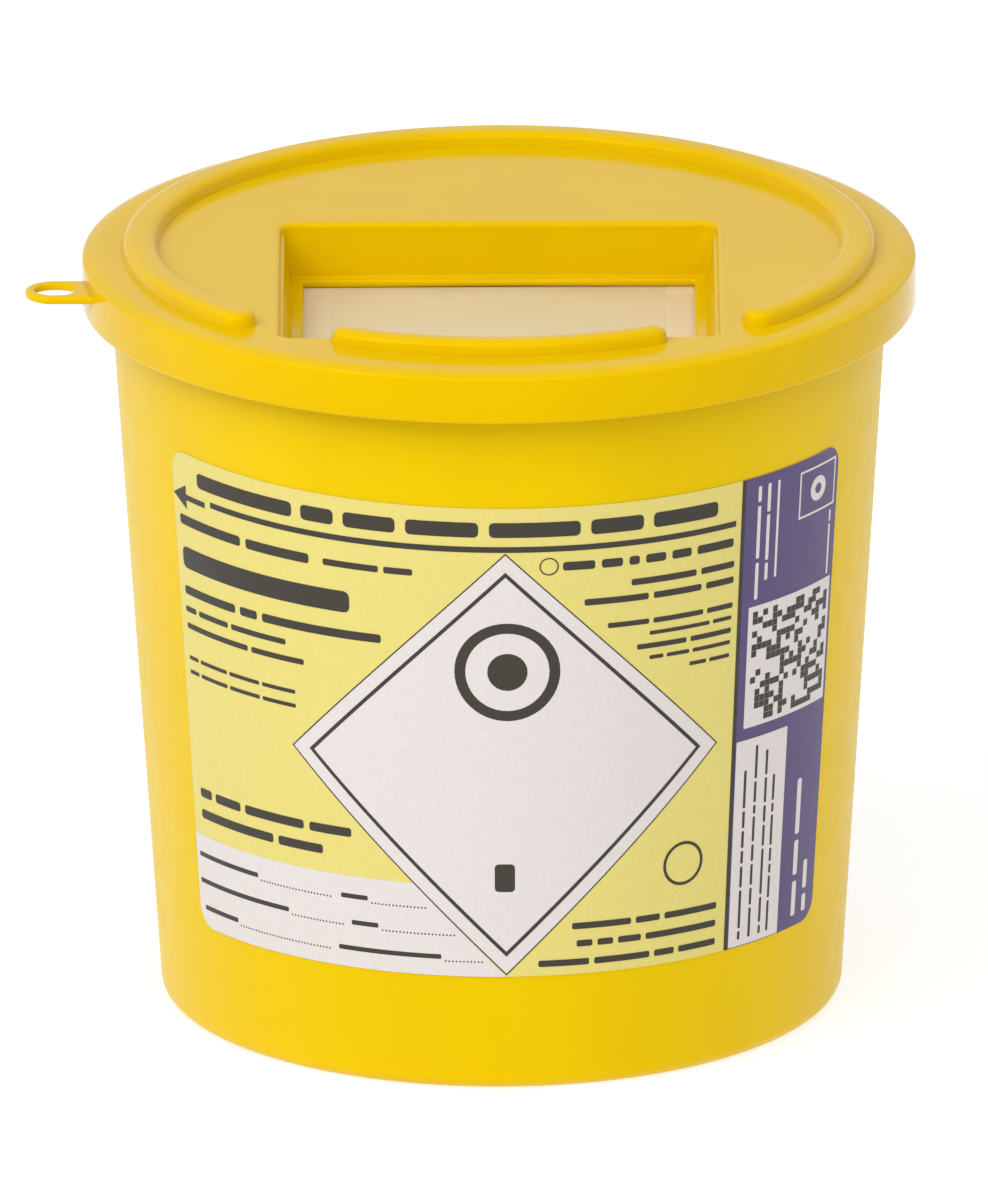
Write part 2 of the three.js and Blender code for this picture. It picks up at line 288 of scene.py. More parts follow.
# ---- materials ----
class Nodes:
    """Short way to add and link shader nodes."""

    def __init__(self, name):
        self.material = bpy.data.materials.new(name)
        self.material.use_nodes = True
        self.tree = self.material.node_tree
        self.tree.nodes.clear()
        self.output = self.add("ShaderNodeOutputMaterial")
        self.shader = self.add("ShaderNodeBsdfPrincipled")
        self.link(self.shader, "BSDF", self.output, "Surface")
        self.place = self.add("ShaderNodeTexCoord")

    def add(self, kind, **settings):
        node = self.tree.nodes.new(kind)
        for key, value in settings.items():
            if key in node.inputs:
                node.inputs[key].default_value = value
            else:
                setattr(node, key, value)
        return node

    def link(self, source, out_name, target, in_name):
        self.tree.links.new(source.outputs[out_name], target.inputs[in_name])

    def noise(self, scale, detail=3.0, stretch=(1.0, 1.0, 1.0)):
        """Noise in object space; scale is in features per metre."""
        mapping = self.add("ShaderNodeMapping")
        mapping.inputs["Scale"].default_value = stretch
        self.link(self.place, "Object", mapping, "Vector")
        texture = self.add("ShaderNodeTexNoise", Scale=scale, Detail=detail)
        self.link(mapping, "Vector", texture, "Vector")
        return texture

    def ramp(self, source, out_name, stops):
        """Colour ramp of (position, colour) stops."""
        node = self.add("ShaderNodeValToRGB")
        elements = node.color_ramp.elements
        while len(elements) < len(stops):
            elements.new(0.5)
        for element, (position, colour) in zip(elements, stops):
            element.position = position
            element.color = (*colour, 1.0)
        self.link(source, out_name, node, "Fac")
        return node

    def spread(self, source, low, high):
        """Value of a noise mapped to a range."""
        node = self.add("ShaderNodeMapRange")
        node.inputs["From Min"].default_value = 0.3
        node.inputs["From Max"].default_value = 0.7
        node.inputs["To Min"].default_value = low
        node.inputs["To Max"].default_value = high
        self.link(source, "Fac", node, "Value")
        return node

    def bump(self, heights):
        """Bumps one after the other; heights are (node, output, strength, distance)."""
        last = None
        for node, out_name, strength, distance in heights:
            bump = self.add("ShaderNodeBump", Strength=strength, Distance=distance)
            self.link(node, out_name, bump, "Height")
            if last is not None:
                self.link(last, "Normal", bump, "Normal")
            last = bump
        self.link(last, "Normal", self.shader, "Normal")


def shaded(colour, factor):
    """The colour made lighter or darker."""
    return tuple(min(1.0, c * factor) for c in colour)


def moulded_plastic(name, colour, roughness, specular, tint, glow, glow_radius, peel=0.03):
    """Injection-moulded plastic: faint flow clouds, fine surface texture and handling scuffs."""
    nodes = Nodes(name)
    shader = nodes.shader
    clouds = nodes.noise(28.0, 4.0, (1.0, 1.0, 0.35))
    tone = nodes.ramp(clouds, "Fac", [
        (0.3, shaded(colour, 0.965)),
        (0.55, colour),
        (0.75, shaded(colour, 1.025)),
    ])
    nodes.link(tone, "Color", shader, "Base Color")
    scuffs = nodes.noise(160.0, 6.0)
    rough = nodes.spread(scuffs, roughness * 0.88, roughness * 1.15)
    nodes.link(rough, "Result", shader, "Roughness")
    shader.inputs["Specular IOR Level"].default_value = specular
    shader.inputs["Specular Tint"].default_value = (*tint, 1.0)
    shader.inputs["Subsurface Weight"].default_value = glow
    shader.inputs["Subsurface Radius"].default_value = glow_radius
    shader.inputs["Subsurface Scale"].default_value = 1.0
    grain = nodes.noise(1500.0, 2.0)
    waves = nodes.noise(45.0, 2.0, (1.0, 1.0, 0.5))
    nodes.bump([(waves, "Fac", 0.06, 0.0006), (grain, "Fac", peel, 0.00008)])
    return nodes.material


def printed_film(name, colour, roughness=0.32):
    """Printed label film: even ink with a faint paper-like mottle and shallow ripples."""
    nodes = Nodes(name)
    shader = nodes.shader
    mottle = nodes.noise(900.0, 3.0)
    tone = nodes.ramp(mottle, "Fac", [(0.3, shaded(colour, 0.97)), (0.7, shaded(colour, 1.02))])
    nodes.link(tone, "Color", shader, "Base Color")
    gloss = nodes.noise(120.0, 4.0)
    rough = nodes.spread(gloss, roughness * 0.85, roughness * 1.2)
    nodes.link(rough, "Result", shader, "Roughness")
    shader.inputs["Specular IOR Level"].default_value = 0.35
    ripples = nodes.noise(60.0, 2.0)
    nodes.bump([(ripples, "Fac", 0.05, 0.0003), (mottle, "Fac", 0.02, 0.00003)])
    return nodes.material


def door_plastic(name, middle, band):
    """Natural translucent plastic whose cream tint is partly painted yellow light from the tub,
    with the two raised side bands painted paler as a highlight and the middle darker as painted
    shade.
    """
    nodes = Nodes(name)
    shader = nodes.shader
    split = nodes.add("ShaderNodeSeparateXYZ")
    nodes.link(nodes.place, "Object", split, "Vector")
    side = nodes.add("ShaderNodeMath", operation="ABSOLUTE")
    nodes.link(split, "X", side, "Value")
    # Mask of the raised side bands, which get the paler colour as a painted highlight.
    edge = nodes.add("ShaderNodeMapRange", interpolation_type="SMOOTHSTEP")
    edge.inputs["From Min"].default_value = (BAND_INNER - 0.3) * MM
    edge.inputs["From Max"].default_value = (BAND_INNER + 0.4) * MM
    nodes.link(side, "Value", edge, "Value")
    clouds = nodes.noise(40.0, 4.0)
    body = nodes.ramp(clouds, "Fac", [(0.3, shaded(middle, 0.96)), (0.7, shaded(middle, 1.03))])
    mix = nodes.add("ShaderNodeMix", data_type="RGBA")
    nodes.tree.links.new(edge.outputs["Result"], mix.inputs["Factor"])
    # sockets 6, 7 and 2 of a Mix node are its colours A and B and its colour result
    nodes.tree.links.new(body.outputs["Color"], mix.inputs[6])
    mix.inputs[7].default_value = (*band, 1.0)
    nodes.tree.links.new(mix.outputs[2], shader.inputs["Base Color"])
    rough = nodes.spread(nodes.noise(60.0, 2.0), 0.3, 0.38)
    nodes.link(rough, "Result", shader, "Roughness")
    shader.inputs["Specular IOR Level"].default_value = 0.4
    return nodes.material


LID_YELLOW = (0.7, 0.447, 0.0)
TUB_YELLOW = (0.765, 0.5, 0.001)
YELLOW_GLOSS = (1.0, 0.72, 0.04)
LABEL_YELLOW = (0.67, 0.575, 0.16)
INK = (0.035, 0.028, 0.02)
# The door's cream is partly painted yellow light from the tub and its middle painted shade; the
# paler band colour is a painted highlight.
DOOR_CREAM_WITH_PAINTED_YELLOW_LIGHT = (0.66, 0.56, 0.37)
DOOR_BAND_PAINTED_HIGHLIGHT = (0.72, 0.6, 0.42)
WHITE = (0.65, 0.6, 0.58)
PURPLE = (0.082, 0.058, 0.16)

lid_material = moulded_plastic(
    "lid_yellow", LID_YELLOW, 0.13, 0.28, YELLOW_GLOSS, 0.1, (0.002, 0.0015, 0.0003), peel=0.012
)
tub_material = moulded_plastic(
    "tub_yellow", TUB_YELLOW, 0.38, 0.3, YELLOW_GLOSS, 0.25, (0.005, 0.0035, 0.0008), peel=0.05
)
door_material = door_plastic("door_natural_painted_light", DOOR_CREAM_WITH_PAINTED_YELLOW_LIGHT, DOOR_BAND_PAINTED_HIGHLIGHT)
film_material = printed_film("label_film", LABEL_YELLOW)
ink_material = printed_film("label_dark_ink", INK, 0.38)
white_material = printed_film("label_white_ink", WHITE)
purple_material = printed_film("label_purple_ink", PURPLE)


# ---- tub ----
def make_tub():
    """Tub with a tapered wall, a turned-out rim and a turned-down lip."""
    corner = TUB_CORNER
    inner_corner = TUB_INNER_CORNER
    rim_low = TUB_TOP - TUB_RIM_THICKNESS
    lip_inner = TUB_RIM_RADIUS - TUB_LIP_WIDTH
    lip_low = TUB_TOP - TUB_LIP_DEPTH
    inside = tub_radius(0) - TUB_WALL
    mouth = tub_radius(TUB_TOP) - TUB_WALL
    outer_wall = [(tub_radius(z), z) for z in np.linspace(8, rim_low - 1.2, 24)]
    inner_wall = [(tub_radius(z) - TUB_WALL, z) for z in np.linspace(TUB_TOP - 2, 8, 20)]
    profile = np.concatenate([
        GATE_MARK,
        FLOOR_GROOVE,
        arc(tub_radius(corner) - corner, corner, corner, -90, -3, 12),
        outer_wall,
        arc(tub_radius(rim_low) + 1.2, rim_low - 1.2, 1.2, 180, 90, 4),
        [(lip_inner - 0.4, rim_low), (lip_inner, rim_low - 0.4), (lip_inner, lip_low + 0.3)],
        arc(lip_inner + 0.3, lip_low + 0.3, 0.3, 180, 270, 3),
        arc(TUB_RIM_RADIUS - 0.4, lip_low + 0.4, 0.4, -90, 0, 3),
        arc(TUB_RIM_RADIUS - 1.0, TUB_TOP - 1.0, 1.0, 0, 90, 6),
        arc(mouth + 0.5, TUB_TOP - 0.5, 0.5, 90, 180, 4),
        inner_wall,
        arc(inside - inner_corner + 0.2, TUB_FLOOR + inner_corner, inner_corner, 0, -90, 10),
        [(30.0, TUB_FLOOR), (2.0, TUB_FLOOR)],
    ])
    return finish_mesh(revolve("tub_body", profile), 30)


# ---- lid ----
def lid_angles():
    """Directions round the lid, closer together where the mouth turns a corner."""
    fine = [(-52.0, -22.0), (22.0, 52.0), (104.0, 118.0), (-118.0, -104.0)]
    angles = [-180.0]
    while angles[-1] < 180.0:
        here = angles[-1]
        step = 0.4 if any(low <= here < high for low, high in fine) else 1.0
        angles.append(here + step)
    return np.radians(np.array(angles[:-1]) + FRONT)


def mouth_radius(angles, grow):
    """Distance from the axis to the mouth's outline drawn out by grow, along each direction."""
    corner = max(MOUTH_CORNER + grow, 0.8)
    middle = (MOUTH_FRONT + MOUTH_BACK) / 2
    half_x = MOUTH_HALF + grow - corner
    half_y = (MOUTH_BACK - MOUTH_FRONT) / 2 + grow - corner
    near = np.full(angles.size, 5.0)
    far = np.full(angles.size, 100.0)
    for _ in range(44):
        radius = (near + far) / 2
        x = np.abs(radius * np.cos(angles)) - half_x
        y = np.abs(radius * np.sin(angles) - middle) - half_y
        outside = np.hypot(np.maximum(x, 0), np.maximum(y, 0)) + np.minimum(np.maximum(x, y), 0)
        inside = outside < corner
        near = np.where(inside, radius, near)
        far = np.where(inside, far, radius)
    return (near + far) / 2


END_STEPS = 20  # facets round a ridge's end


def ridge_outline(inner, outer, start, finish, inset):
    """A bent strip with round ends, between two turns from the front in degrees."""
    end = math.degrees((outer - inner) / (outer + inner))
    first = FRONT + start + end
    last = FRONT + finish - end
    steps = int((last - first) / 1.5)
    inner += inset
    outer -= inset
    middle = (inner + outer) / 2
    half = (outer - inner) / 2

    def end_centre(degrees):
        turn = math.radians(degrees)
        return middle * math.cos(turn), middle * math.sin(turn)

    return np.concatenate([
        arc(0, 0, outer, first, last, steps),
        arc(*end_centre(last), half, last, last + 180, END_STEPS)[1:-1],
        arc(0, 0, inner, last, first, steps),
        arc(*end_centre(first), half, first + 180, first + 360, END_STEPS)[1:-1],
    ]), steps + 1


def make_ridge(name, inner, outer, start, finish):
    """A ridge on the lid's top, with drafted walls and a rounded crest."""
    levels = [(-RIDGE_DRAFT / 2, -RIDGE_ROOT)]
    for turn in np.radians(np.linspace(15, 90, 10)):
        levels.append((
            RIDGE_DRAFT + RIDGE_ROUND * (1 - math.cos(turn)),
            RIDGE_HEIGHT - RIDGE_ROUND_DEPTH * (1 - math.sin(turn)),
        ))
    rings = []
    for inset, height in levels:
        outline, count = ridge_outline(inner, outer, start, finish, inset)
        rings.append(flat_ring(outline, RIM_TOP + height))
    total = len(rings[0])
    vertices = np.concatenate(rings)
    faces = []
    for k in range(len(rings) - 1):
        for i in range(total):
            j = (i + 1) % total
            faces.append((
                k * total + i, k * total + j, (k + 1) * total + j, (k + 1) * total + i
            ))
    # crest and underside: quads from the outer side to the inner side, a fan at each end
    inner_last = 2 * count + END_STEPS - 2
    for base, order in (((len(rings) - 1) * total, 1), (0, -1)):
        caps = [
            [i, i + 1, inner_last - i - 1, inner_last - i] for i in range(count - 1)
        ]
        caps.append(list(range(count - 1, count + END_STEPS)))
        caps.append([*range(inner_last, total), 0])
        faces += [tuple(base + i for i in cap)[::order] for cap in caps]
    return mesh_object(name, vertices, faces)


def make_lid_shell():
    """The lid's skin from the ledge up over the top, down the skirt and back underneath."""
    angles = lid_angles()
    rings = []

    def at(radius, z):
        radius = np.broadcast_to(radius, angles.shape)
        rings.append(np.stack([
            radius * np.cos(angles), radius * np.sin(angles), np.broadcast_to(z, angles.shape)
        ], axis=1))

    ledge_in = mouth_radius(angles, -MOUTH_DRAFT - LEDGE_WIDTH)
    wall_foot = mouth_radius(angles, -MOUTH_DRAFT)
    wall_top = mouth_radius(angles, 0.0)
    outside = mouth_radius(angles, MOUTH_WALL)
    # the ledge's inner edge, rounded
    nose_low = LEDGE_BOTTOM - 0.2
    nose = (LEDGE_TOP - nose_low) / 2
    for turn in np.radians(np.linspace(-80, 80, 7)):
        at(ledge_in + nose * (1 - math.cos(turn)), nose_low + nose * (1 + math.sin(turn)))
    # fillet from the ledge into the drafted wall
    for turn in np.radians(np.linspace(0, 90, 5)):
        at(
            wall_foot - LEDGE_FILLET * (1 - math.sin(turn)),
            LEDGE_TOP + LEDGE_FILLET * (1 - math.cos(turn)),
        )
    wall_height = MOUTH_DEPTH - LEDGE_FILLET - MOUTH_EDGE
    for share in np.linspace(0.15, 1.0, 6):
        at(
            wall_foot + share * (wall_top - wall_foot),
            LEDGE_TOP + LEDGE_FILLET + share * wall_height,
        )
    edge_out = mouth_radius(angles, MOUTH_EDGE)
    for turn in np.radians(np.linspace(10, 90, 9)):
        share = 1 - math.cos(turn)
        at(wall_top + share * (edge_out - wall_top), RIM_TOP - MOUTH_EDGE * (1 - math.sin(turn)))
    # the flat top and the shoulder that curves down to the skirt
    for share in np.linspace(0, 1, 15)[1:]:
        at(edge_out + share * (SHOULDER_START - edge_out), RIM_TOP)
    steepest = math.radians(68)
    edge_centre = LID_RADIUS - RIM_EDGE
    edge_start = edge_centre + RIM_EDGE * math.cos(steepest)
    for share in np.linspace(0, 1, 12)[1:]:
        radius = SHOULDER_START + share * (edge_start - SHOULDER_START)
        at(radius, RIM_TOP - SHOULDER_DROP * share**1.6)
    edge_z = RIM_TOP - SHOULDER_DROP - RIM_EDGE * math.sin(steepest)
    for turn in np.linspace(steepest, 0, 9)[1:]:
        at(edge_centre + RIM_EDGE * math.cos(turn), edge_z + RIM_EDGE * math.sin(turn))
    at(LID_RADIUS, SKIRT_BOTTOM + 4.5)
    for turn in np.radians(np.linspace(0, -90, 5)):
        at(LID_RADIUS - 0.6 * (1 - math.cos(turn)), SKIRT_BOTTOM + 0.6 * (1 + math.sin(turn)))
    for turn in np.radians(np.linspace(-90, -180, 4)):
        at(SKIRT_INNER + 0.4 * (1 + math.cos(turn)), SKIRT_BOTTOM + 0.4 * (1 + math.sin(turn)))
    # snap bead inside the skirt
    bead_low = SKIRT_BOTTOM + BEAD_ABOVE
    for share in np.linspace(0, 1, 7):
        inset = BEAD_INSET * math.sin(math.pi * share)
        at(SKIRT_INNER - inset, bead_low + BEAD_HEIGHT * share)
    at(SKIRT_INNER, PLATE_BOTTOM - 0.8)
    at(SKIRT_INNER - 0.25, PLATE_BOTTOM - 0.2)
    at(SKIRT_INNER - 0.8, PLATE_BOTTOM)
    for radius, depth in PLUG:
        at(radius, PLATE_BOTTOM - depth)
    # outside of the mouth's walls and the ledge's underside
    at(outside + 0.8, PLATE_BOTTOM)
    at(outside, PLATE_BOTTOM - 0.8)
    at(outside, LEDGE_BOTTOM + 0.1)
    at(outside - 0.3, nose_low)
    at(ledge_in + 0.5, nose_low)
    return skin("lid_shell", rings, wrap=True)


def make_rails():
    """L-shaped rails that carry the door, their catch teeth and the wall that stops the door."""
    inner = DOOR_HALF + RAIL_GAP
    outer = inner + RAIL_WEB
    lip_top = DOOR_BOTTOM - RAIL_BELOW
    lip_low = lip_top - RAIL_LIP
    front = DOOR_LOW[1] - RAIL_LEAD
    web_top = PLATE_BOTTOM + 0.5
    parts = []
    for side in (-1, 1):
        def across(a, b):
            return (a, b) if side > 0 else (-b, -a)

        parts.append(slab_box("web", *across(inner, outer), front, RAIL_BACK, lip_low, web_top))
        parts.append(slab_box(
            "lip", *across(DOOR_HALF - 2.4, inner + 1.2), front, RAIL_BACK, lip_low, lip_top
        ))
        parts.append(slab_box(
            "tooth", *across(DOOR_HALF - 5.4, DOOR_HALF - 2.0), front + 3, front + 6,
            lip_top - 0.9, lip_top, corner=0.5, edge=0.2,
        ))
    parts.append(slab_box("stop", -40, 40, front - 1.6, front, DOOR_BOTTOM, web_top))
    return parts


def make_loop():
    """Flat tether loop that points out to the left of the skirt, with rounded edges."""
    hole_radius = LOOP_HALF - LOOP_BAND
    bend = LOOP_HALF - LOOP_TIP
    middle = RIM_TOP - LOOP_BELOW
    flare = 0.9

    def root(y):
        return -math.sqrt((LID_RADIUS - LOOP_ROOT) ** 2 - y * y)

    def outer_outline(inset):
        radius = LOOP_HALF - inset
        back = LOOP_CENTRE_Y + radius
        front = LOOP_CENTRE_Y - radius
        return np.concatenate([
            [[root(back + flare), back + flare], [root(back) - 1.5, back]],
            arc(bend, LOOP_CENTRE_Y, radius, 90, 270, 36),
            [
                [root(front) - 2.2, front],
                [root(front) - 1.0, front - 0.25],
                [root(front - flare), front - flare],
            ],
        ])

    def hole_outline(inset):
        radius = hole_radius + inset
        return np.concatenate([
            arc(bend, LOOP_CENTRE_Y, radius, 90, 270, 36),
            arc(-LOOP_HOLE_START - hole_radius, LOOP_CENTRE_Y, radius, -90, 90, 36),
        ])

    def level(outline_at):
        rings = []
        flat = LOOP_THICKNESS / 2 - LOOP_EDGE
        for turn in np.radians(np.linspace(-90, 90, 9)):
            inset = LOOP_EDGE * (1 - math.cos(turn))
            z = middle + flat * np.sign(math.sin(turn)) + LOOP_EDGE * math.sin(turn)
            rings.append(flat_ring(outline_at(inset), z))
        return rings

    outer = level(outer_outline)
    hole = level(hole_outline)
    bm = bmesh.new()

    def add_wall(rings):
        loops = [[bm.verts.new(point) for point in ring] for ring in rings]
        for low, high in zip(loops, loops[1:]):
            for i in range(len(low)):
                j = (i + 1) % len(low)
                bm.faces.new((low[i], low[j], high[j], high[i]))
        return loops[0], loops[-1]

    def edges_of(loop):
        return [bm.edges.get((loop[i], loop[(i + 1) % len(loop)])) for i in range(len(loop))]

    outer_low, outer_high = add_wall(outer)
    hole_low, hole_high = add_wall(hole)
    for first, second in ((outer_low, hole_low), (outer_high, hole_high)):
        bmesh.ops.triangle_fill(bm, edges=edges_of(first) + edges_of(second), use_beauty=True)
    bmesh.ops.recalc_face_normals(bm, faces=bm.faces)
    bm.transform(Matrix.Scale(MM, 4))
    mesh = bpy.data.meshes.new("loop")
    bm.to_mesh(mesh)
    bm.free()
    made = bpy.data.objects.new("loop", mesh)
    bpy.context.scene.collection.objects.link(made)
    return made


def make_lid():
    ring = make_ridge("ring", RING_INNER, RING_OUTER, RING_GAP, 360 - RING_GAP)
    ring.data.transform(Matrix.Translation((0, RING_CENTRE_Y * MM, 0)))
    span = FRONT_RIDGE_SPAN
    front = make_ridge("front", FRONT_RIDGE_INNER, FRONT_RIDGE_OUTER, -span, span)
    parts = [make_lid_shell(), ring, front, *make_rails(), make_loop()]
    return finish_mesh(join("lid_moulding", parts), 42)


# ---- sliding door ----
def make_door():
    front = DOOR_LOW[1]
    back = DOOR_HIGH[1]

    def panel_outline(inset):
        front_corner = max(DOOR_FRONT_CORNER - inset, 0.1)
        back_corner = max(DOOR_BACK_CORNER - inset, 0.1)
        return rounded_rectangle(
            -DOOR_HALF + inset, DOOR_HALF - inset, front + inset, back - inset,
            [front_corner, back_corner, back_corner, front_corner], steps=12,
        )

    parts = [soft_slab("panel", panel_outline, DOOR_BOTTOM, DOOR_FACE, 0.3, 0.35)]
    for side in (-1, 1):
        x0, x1 = sorted((side * BAND_INNER, side * BAND_OUTER))
        parts.append(slab_box(
            "band", x0, x1, front + 1, back - DOOR_BACK_CORNER, DOOR_TOP - 0.5, DOOR_FACE + 0.1,
            corner=0.5, edge=0.08,
        ))

    def grip_outline(inset):
        return rounded_rectangle(
            -GRIP_HALF + inset, GRIP_HALF - inset, GRIP_FRONT + inset, GRIP_BACK - inset,
            [GRIP_CORNER - inset] * 4,
        )

    parts.append(soft_slab("grip", grip_outline, DOOR_TOP - 0.8, DOOR_HIGH[2], 0.1, 1.5))
    pip = revolve("pip", [(radius, DOOR_TOP + height) for radius, height in PIP], 32)
    pip.data.transform(Matrix.Translation((0, PIP_Y * MM, 0)))
    parts.append(pip)
    return finish_mesh(join("door_panel", parts), 35)


# ---- label ----
def on_tub(u, v, lift):
    """Point on the tub for label coordinates: u along the wrap and v upwards, in millimetres."""
    angle = math.degrees(u / LABEL_RADIUS)
    side = angle / 60
    share = (v - LABEL_BOTTOM) / (LABEL_TOP - LABEL_BOTTOM)
    z = v + share * (LABEL_RISE * side**2 - LABEL_TILT * side)
    radius = tub_radius(z) + lift
    turn = math.radians(FRONT + angle)
    return Vector((radius * math.cos(turn), radius * math.sin(turn), z)) * MM


# Vertices and faces are sorted along this direction, so that their order stays the same.
SORT_AXIS = Vector((1.0, 0.3719, 0.6143))


def wrapped(name, shapes, lift, thickness, material):
    """Flat outlines in label coordinates, cut into narrow strips and wrapped round the tub."""
    bm = bmesh.new()
    for shape in shapes:
        bm.faces.new([bm.verts.new((u, v, 0)) for u, v in shape])
    half_width = LABEL_RADIUS * math.radians(64)
    step = 1.8
    for cut in np.arange(-half_width, half_width, step):
        geometry = bm.verts[:] + bm.edges[:] + bm.faces[:]
        bmesh.ops.bisect_plane(
            bm, geom=geometry, dist=1e-5, plane_co=(cut, 0, 0), plane_no=(1, 0, 0)
        )
    sheet = bm.faces[:]
    raised = bmesh.ops.extrude_face_region(bm, geom=sheet)
    upper = [item for item in raised["geom"] if isinstance(item, bmesh.types.BMVert)]
    upper_set = set(upper)
    places = {
        vert: on_tub(vert.co.x, vert.co.y, lift + (thickness if vert in upper_set else 0))
        for vert in bm.verts
    }
    for vert, place in places.items():
        vert.co = place
    bmesh.ops.recalc_face_normals(bm, faces=bm.faces)
    # the normal tells apart two faces in the same place
    bm.verts.sort(key=lambda vert: vert.co.dot(SORT_AXIS))
    bm.faces.sort(key=lambda face: (face.calc_center_median() + face.normal * MM).dot(SORT_AXIS))
    mesh = bpy.data.meshes.new(name)
    bm.to_mesh(mesh)
    bm.free()
    made = bpy.data.objects.new(name, mesh)
    bpy.context.scene.collection.objects.link(made)
    made.data.materials.append(material)
    return shade(made, 40)


def bar(u0, u1, v0, v1, corner=0.35):
    """Rounded bar in label coordinates."""
    corner = min(corner, (u1 - u0) / 2.02, (v1 - v0) / 2.02)
    return [tuple(p) for p in rounded_rectangle(u0, u1, v0, v1, [corner] * 4, steps=3)]


def line_of_bars(u0, u1, v, height, words, space=1.4):
    """A row of bars that stands for a line of print; words are relative lengths."""
    room = (u1 - u0) - space * (len(words) - 1)
    unit = room / sum(words)
    low, high = v - height / 2, v + height / 2
    shapes = []
    start = u0
    for word in words:
        shapes.append(bar(start, start + word * unit, low, high, height * 0.28))
        start += word * unit + space
    return shapes


def label_u(degrees):
    """Distance along the wrap of a direction from the front."""
    return math.radians(degrees) * LABEL_RADIUS


def diamond(centre_u, centre_v, half):
    """Square on its corner."""
    return [
        (centre_u, centre_v - half), (centre_u + half, centre_v),
        (centre_u, centre_v + half), (centre_u - half, centre_v),
    ]


def diamond_frame(centre_u, centre_v, half, width):
    """Four mitred strips that make a diamond-shaped frame."""
    outer = diamond(centre_u, centre_v, half)
    inner = diamond(centre_u, centre_v, half - width * math.sqrt(2))
    return [
        [outer[i], outer[(i + 1) % 4], inner[(i + 1) % 4], inner[i]] for i in range(4)
    ]


def ring_shapes(centre_u, centre_v, outer, inner, steps=24):
    """A ring made of quads."""
    turns = np.linspace(0, 2 * math.pi, steps + 1)
    shapes = []
    for a, b in zip(turns, turns[1:]):
        shapes.append([
            (centre_u + inner * math.cos(a), centre_v + inner * math.sin(a)),
            (centre_u + outer * math.cos(a), centre_v + outer * math.sin(a)),
            (centre_u + outer * math.cos(b), centre_v + outer * math.sin(b)),
            (centre_u + inner * math.cos(b), centre_v + inner * math.sin(b)),
        ])
    return shapes


def frame_shapes(u0, u1, v0, v1, width):
    """Four mitred strips that make an upright frame."""
    return [
        [(u0, v0), (u1, v0), (u1 - width, v0 + width), (u0 + width, v0 + width)],
        [(u1, v0), (u1, v1), (u1 - width, v1 - width), (u1 - width, v0 + width)],
        [(u1, v1), (u0, v1), (u0 + width, v1 - width), (u1 - width, v1 - width)],
        [(u0, v1), (u0, v0), (u0 + width, v0 + width), (u0 + width, v1 - width)],
    ]


# Label layout, in label coordinates: u along the wrap from the front, v above the base.
LABEL_U0 = label_u(LABEL_LEFT)
LABEL_U1 = label_u(LABEL_RIGHT)
DIAMOND_U = 1.1
DIAMOND_V = 77.9
DIAMOND_HALF = 50.3
STRIP_LEFT = 56.75
SEPARATOR = 1.0
PANEL_TOP = 49.0
FILM_LIFT = 0.05  # gap between the tub and the film
FILM_THICKNESS = 0.12
INK_THICKNESS = 0.02

# Lines of print, drawn as plain bars: left end, right end, height of the middle,
# thickness and the relative lengths of the words.
PRINT_ROWS = (
    (-74.3, 49.3, 133.7, 3.5, (7, 2, 3, 4, 5, 3, 4)),
    (-81.5, -43.0, 122.9, 2.3, (6, 5)),
    (-39.5, -19.0, 122.9, 1.5, (6, 3)),
    (-81.3, -33.5, 114.1, 5.0, (1,)),
    (-81.3, -26.4, 106.4, 2.0, (7, 2, 12)),
    (-81.5, -49.9, 101.9, 1.3, (2, 5, 8)),
    (-81.3, -45.3, 98.0, 1.3, (10, 7)),
    (-81.3, -47.9, 90.5, 0.9, (3, 8, 8, 8)),
    (-81.3, -47.9, 87.2, 0.9, (3, 8, 8, 8)),
    (-80.3, -34.9, 59.3, 2.1, (2, 4, 8, 5)),
    (-80.3, -42.3, 54.3, 2.1, (12, 6)),
    (13.5, 53.8, 124.8, 2.0, (3, 2, 1, 2, 2, 4)),
    (28.8, 54.2, 119.6, 1.5, (9, 5)),
    (18.3, 54.2, 115.9, 1.5, (10, 8, 5)),
    (23.6, 54.2, 109.9, 1.2, (7, 9, 5)),
    (33.3, 54.0, 107.0, 0.9, (12, 4)),
    (30.4, 54.0, 104.0, 1.2, (9, 8)),
    (33.4, 53.9, 101.2, 0.9, (3, 5, 9)),
    (43.3, 53.8, 98.1, 0.9, (4, 5)),
    (16.3, 53.0, 38.8, 1.5, (7, 3, 7)),
    (17.4, 52.9, 34.6, 1.5, (2, 2, 3, 10)),
    (8.5, 53.0, 30.2, 1.5, (7, 8, 3, 6)),
)

# Rows to write on: height, then bars and dotted stretches from left to right.
WRITE_ROWS = (
    (44.4, -82.3, -60.9, -40.4, -38.0, -30.9, -17.0),
    (38.2, -82.5, -52.0, -37.8, -35.5, -28.5, -10.5),
    (32.0, -81.3, -68.4, -41.5, -39.0, -13.6, -4.5),
)


def upright_bars(u, v0, v1, width, words, space):
    """A row of bars that reads upwards."""
    unit = ((v1 - v0) - space * (len(words) - 1)) / sum(words)
    shapes = []
    low = v0
    for word in words:
        shapes.append(bar(u - width / 2, u + width / 2, low, low + word * unit, width * 0.28))
        low += word * unit + space
    return shapes


def label_base():
    """The film's outline."""
    return [tuple(p) for p in rounded_rectangle(
        LABEL_U0, LABEL_U1, LABEL_BOTTOM, LABEL_TOP, [LABEL_CORNER] * 4, steps=8
    )]


def purple_strip():
    """Strip at the label's right end, with the film's rounded corners."""
    points = np.concatenate([
        [[STRIP_LEFT, LABEL_TOP], [STRIP_LEFT, LABEL_BOTTOM]],
        arc(LABEL_U1 - LABEL_CORNER, LABEL_BOTTOM + LABEL_CORNER, LABEL_CORNER, -90, 0, 8),
        arc(LABEL_U1 - LABEL_CORNER, LABEL_TOP - LABEL_CORNER, LABEL_CORNER, 0, 90, 8),
    ])
    return [tuple(p) for p in points]


